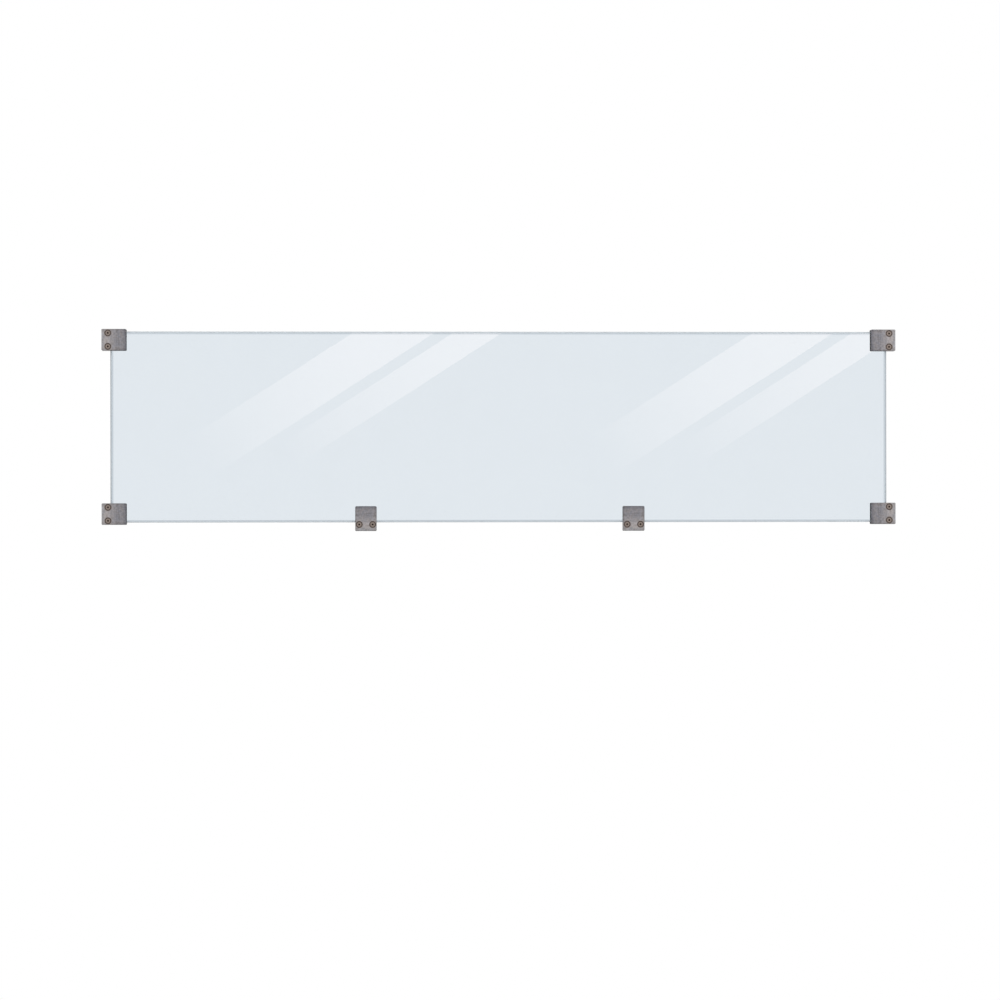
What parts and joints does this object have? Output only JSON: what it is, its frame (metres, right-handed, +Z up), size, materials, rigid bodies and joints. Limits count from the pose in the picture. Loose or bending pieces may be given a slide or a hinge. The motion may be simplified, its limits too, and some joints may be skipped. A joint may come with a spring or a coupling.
{
  "type": "glass balustrade panel",
  "caption": "Long clear glass balustrade panel held at its corners and along its bottom edge by split steel clamps with rubber gaskets, for fixing between posts and on a rail.",
  "frame": {"origin": "midway along the pane, in the middle of the glass's thickness, level with the seats of the clamps on the bottom edge", "axes": "+X along the pane to the right seen from the front, +Y from front to back, +Z up"},
  "size_m": [1.7788, 0.028, 0.4514],
  "materials": {
    "clear_glass": "clear toughened float glass, polished faces and ground round edges",
    "clamp_steel": "cast stainless steel, blasted and brushed to a matt grey",
    "gasket_rubber": "moulded black rubber",
    "screw_steel": "cold-headed steel with a brown oil finish, worn paler round the sockets"
  },
  "bodies": {
    "root": {"glass_panel": "clear_glass", "left_top_clamp_body": "clamp_steel", "left_top_clamp_cover": "clamp_steel", "left_top_back_gasket": "gasket_rubber", "left_top_front_gasket": "gasket_rubber", "left_top_clamp_screws": "screw_steel", "left_bottom_clamp_body": "clamp_steel", "left_bottom_clamp_cover": "clamp_steel", "left_bottom_back_gasket": "gasket_rubber", "left_bottom_front_gasket": "gasket_rubber", "left_bottom_clamp_screws": "screw_steel", "right_top_clamp_body": "clamp_steel", "right_top_clamp_cover": "clamp_steel", "right_top_back_gasket": "gasket_rubber", "right_top_front_gasket": "gasket_rubber", "right_top_clamp_screws": "screw_steel", "right_bottom_clamp_body": "clamp_steel", "right_bottom_clamp_cover": "clamp_steel", "right_bottom_back_gasket": "gasket_rubber", "right_bottom_front_gasket": "gasket_rubber", "right_bottom_clamp_screws": "screw_steel", "rail_left_clamp_body": "clamp_steel", "rail_left_clamp_cover": "clamp_steel", "rail_left_back_gasket": "gasket_rubber", "rail_left_front_gasket": "gasket_rubber", "rail_left_clamp_screws": "screw_steel", "rail_right_clamp_body": "clamp_steel", "rail_right_clamp_cover": "clamp_steel", "rail_right_back_gasket": "gasket_rubber", "rail_right_front_gasket": "gasket_rubber", "rail_right_clamp_screws": "screw_steel"}
  },
  "joints": []
}
